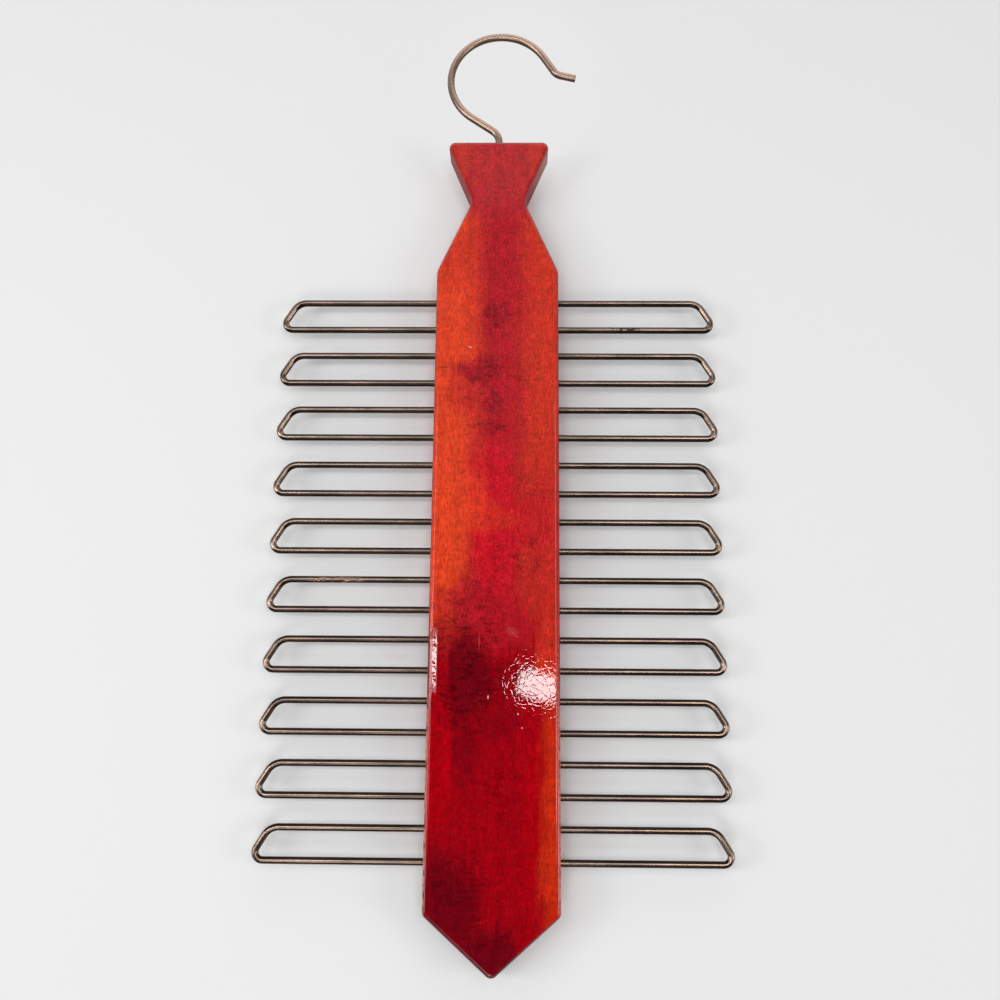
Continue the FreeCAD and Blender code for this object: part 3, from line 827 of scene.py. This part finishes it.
@dataclass
class Studio:
    """The pale floor behind the hanger, the cards and lamps before it, the world and the camera."""

    pale: float = 0.81
    ambient: float = 0.34
    floor_colour: Colour = (0.750, 0.750, 0.750)
    floor_depth: float = 0.0085
    floor_size: float = 6.0
    floor_fade: tuple[float, float] = (0.40, 0.90)
    near_back: float = 0.003
    middle: Point = (0.0, 0.0, -0.25)

    # Where the floor is open: behind the hook, and within the outline of the board.
    opening_centre: tuple[float, float] = (0.004, -0.024)
    opening_radius: float = 0.075
    opening_edge: tuple[float, float] = (0.08, 0.45)
    under_edge: float = 0.004
    waist_half: float = 0.0132
    knot_half: float = 0.027
    blade_half: float = 0.03025
    knot_top: float = -0.065
    waist_level: float = -0.0983
    shoulder_level: float = -0.1367
    blade_end: float = -0.4387
    point_level: float = -0.4648

    # The dark cards behind the camera, and how they pale towards the ceiling.
    card_place: Point = (-0.05, -2.4, -0.5)
    card_width: float = 0.46
    side_card_left: Point = (-1.36, -1.50, -0.5)
    side_card_right: Point = (1.26, -1.50, -0.5)
    side_card_width: float = 2.86
    side_card_turn: float = 40.0
    card_height: float = 5.0
    card_glow: float = 0.14
    card_fade: tuple[float, float] = (-0.10, 0.80)
    ceiling_glow: float = 0.26
    ceiling_fade: tuple[float, float] = (1.16, 1.26)

    # The camera of the photograph: its place in metres and its turn in degrees.
    camera_place: Point = (0.01021, -0.46873, -0.35778)
    camera_turn: Point = (102.683, -0.492, 0.883)
    sensor: float = 36.0
    lens: float = 36.0
    lamps: tuple[Lamp, ...] = (
        Lamp("front_lamp", (0.053, -1.508, -0.283), (0.019, 0.0, -0.340), 0.076, 0.050, 18.0, -16.0),
        Lamp("left_panel", (-0.38, -1.50, -0.12), (0.0, 0.0, -0.30), 0.34, 0.85, 3.0),
        Lamp("right_panel", (0.33, -1.50, -0.12), (0.0, 0.0, -0.30), 0.36, 0.85, 3.2),
        Lamp("right_strip", (0.44, -1.50, -0.44), (-0.105, 0.0, -0.20), 0.62, 0.09, 7.0, 33.0),
        Lamp("low_panel", (-0.30, -1.45, -1.62), (0.0, 0.0, -0.03), 0.70, 0.70, 5.0),
        Lamp("left_tube", (-0.985, -1.155, -0.218), (0.0, 0.0, -0.325), 1.4, 0.06, 18.0),
        Lamp("left_softbox", (-1.20, -0.78, -0.50), (0.0, 0.0, -0.28), 0.45, 0.45, 5.5),
        Lamp("right_softbox", (1.20, -0.78, -0.50), (0.0, 0.0, -0.28), 0.45, 0.45, 5.5),
        Lamp("overhead_softbox", (0.15, -0.75, 1.35), (0.0, 0.0, -0.25), 1.6, 0.8, 1.0),
        Lamp("rear_softbox", (0.30, 1.60, 0.55), (0.0, 0.0, -0.25), 1.6, 1.6, 2.2),
    )

    def build(self) -> None:
        """Sets up everything around the hanger."""
        self.light_world()
        self.lay_floor()
        self.hang_cards()
        for lamp in self.lamps:
            lamp.build()
        self.place_camera()

    def light_world(self) -> None:
        """Makes a pale surrounding that lights softly."""
        world = bpy.data.worlds.new("pale_room")
        world.use_nodes = True
        bpy.context.scene.world = world
        sheet = NodeSheet(world.node_tree)
        path = sheet.add("ShaderNodeLightPath", {})
        shown = path.outputs[Ray.CAMERA.value]
        for ray in (Ray.GLOSSY, Ray.TRANSMISSION):
            shown = sheet.calc("MAXIMUM", shown, path.outputs[ray.value])
        strength = sheet.ramp(shown, 0.0, 1.0, self.ambient, self.pale)
        glow = sheet.add("ShaderNodeBackground", {"Color": (1.0, 1.0, 1.0), "Strength": strength})
        sheet.add("ShaderNodeOutputWorld", {"Surface": glow.outputs["Background"]})

    def flat_sheet(self, name: str, width: float, height: float, place: Point, tilt: float,
                   turn: float = 0.0) -> bpy.types.Object:
        """Adds an upright sheet.

        Args:
            name: Its name.
            width: Its size along X.
            height: Its size along Z.
            place: Its middle.
            tilt: Its turn about X, in radians.
            turn: Its turn about Z after that, in radians.

        Returns:
            The sheet, with its place in its mesh.
        """
        bpy.ops.object.select_all(action="DESELECT")
        bpy.ops.mesh.primitive_plane_add(size=1.0, location=place, rotation=(tilt, 0.0, turn))
        sheet = bpy.context.object
        sheet.name = name
        sheet.scale = (width, height, 1.0)
        bpy.ops.object.transform_apply(location=True, rotation=True, scale=True)
        return sheet

    def board_outline(self, sheet: NodeSheet, spot: Socket) -> Socket:
        """Tells where the floor lies right behind the board.

        Args:
            sheet: The floor's nodes.
            spot: The place on the floor.

        Returns:
            1 behind the board and 0 elsewhere.
        """
        across, _, level = sheet.parts(spot)
        runs = (
            (self.waist_level, self.knot_top, self.knot_half - self.waist_half),
            (self.waist_level, self.shoulder_level, self.blade_half - self.waist_half),
            (self.blade_end, self.point_level, -self.blade_half),
        )
        half = self.waist_half - self.under_edge
        for start, end, change in runs:
            inputs = {"Value": level, "From Min": start, "From Max": end, "To Min": 0.0, "To Max": change}
            half = sheet.calc("ADD", half, sheet.add("ShaderNodeMapRange", inputs).outputs["Result"])
        inside = sheet.calc("LESS_THAN", sheet.calc("ABSOLUTE", across), half)
        below = sheet.calc("LESS_THAN", level, self.knot_top - self.under_edge)
        return sheet.calc("MULTIPLY", inside, below)

    def lay_floor(self) -> None:
        """Lays the pale floor close behind the flat back.

        It is open behind the hook, which swings through it, and behind the board, where light reaches the
        back. It is also clear from behind, and to light that starts right at the back of the hanger.
        """
        place = (self.middle[0], self.floor_depth, self.middle[2])
        floor = self.flat_sheet("floor", self.floor_size, self.floor_size, place, math.radians(90.0))
        material, sheet = new_material("pale_floor")
        spot = sheet.place()
        opening = sheet.patch(spot, self.opening_centre, (self.opening_radius, self.opening_radius))
        away = sheet.patch(spot, (self.middle[0], self.middle[2]), (self.floor_fade[1], self.floor_fade[1]))
        start = 1.0 - self.floor_fade[0] / self.floor_fade[1]
        opened = sheet.ramp(opening, *self.opening_edge)
        gone = sheet.calc("MAXIMUM", opened, sheet.ramp(away, start, 0.0))
        gone = sheet.calc("MAXIMUM", gone, self.board_outline(sheet, spot))
        behind = sheet.add("ShaderNodeNewGeometry", {}).outputs["Backfacing"]
        gone = sheet.calc("MAXIMUM", gone, behind)
        length = sheet.add("ShaderNodeLightPath", {}).outputs["Ray Length"]
        gone = sheet.calc("MAXIMUM", gone, sheet.calc("LESS_THAN", length, self.near_back))
        paper = sheet.add("ShaderNodeBsdfDiffuse", {"Color": self.floor_colour}).outputs["BSDF"]
        clear = sheet.add("ShaderNodeBsdfTransparent", {}).outputs["BSDF"]
        both = sheet.add("ShaderNodeMixShader", {0: gone, 1: paper, 2: clear}).outputs["Shader"]
        sheet.add("ShaderNodeOutputMaterial", {"Surface": both})
        wear(floor, material)

    def hang_cards(self) -> None:
        """Hangs dark cards behind the camera, which only the gloss shows.

        They are pale towards their tops, as a ceiling is.
        """
        material, sheet = new_material("dark_card")
        level = sheet.parts(sheet.place())[2]
        glow = sheet.ramp(level, *self.card_fade, 0.0, self.card_glow)
        ceiling = sheet.ramp(level, *self.ceiling_fade, 0.0, self.ceiling_glow)
        inputs = {"Color": (1.0, 1.0, 1.0), "Strength": sheet.calc("ADD", glow, ceiling)}
        light = sheet.add("ShaderNodeEmission", inputs).outputs["Emission"]
        sheet.add("ShaderNodeOutputMaterial", {"Surface": light})
        tilt = math.radians(-90.0)
        turn = math.radians(self.side_card_turn)
        plans = (
            ("dark_card", self.card_width, self.card_place, 0.0),
            ("left_card", self.side_card_width, self.side_card_left, -turn),
            ("right_card", self.side_card_width, self.side_card_right, turn),
        )
        for name, width, place, angle in plans:
            card = self.flat_sheet(name, width, self.card_height, place, tilt, angle)
            wear(card, material)
            card.visible_camera = False
            card.visible_diffuse = False
            card.visible_shadow = False

    def place_camera(self) -> None:
        """Sets the camera where the photograph was taken from."""
        turn = tuple(math.radians(angle) for angle in self.camera_turn)
        bpy.ops.object.camera_add(location=self.camera_place, rotation=turn)
        camera = bpy.context.object
        camera.name = "photo_camera"
        camera.data.sensor_width = self.sensor
        camera.data.lens = self.lens
        bpy.context.scene.camera = camera


def main() -> None:
    """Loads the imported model, dresses its pieces and sets up the studio."""
    logging.basicConfig(level=logging.INFO, format="%(name)s: %(message)s")
    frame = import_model()
    bpy.context.scene.view_settings.view_transform = "Standard"
    bpy.ops.object.select_all(action="DESELECT")
    for assembly in (Board(), Loops(), Hook()):
        assembly.dress(frame["nodes"])
    Studio().build()


if __name__ == "__main__":
    main()
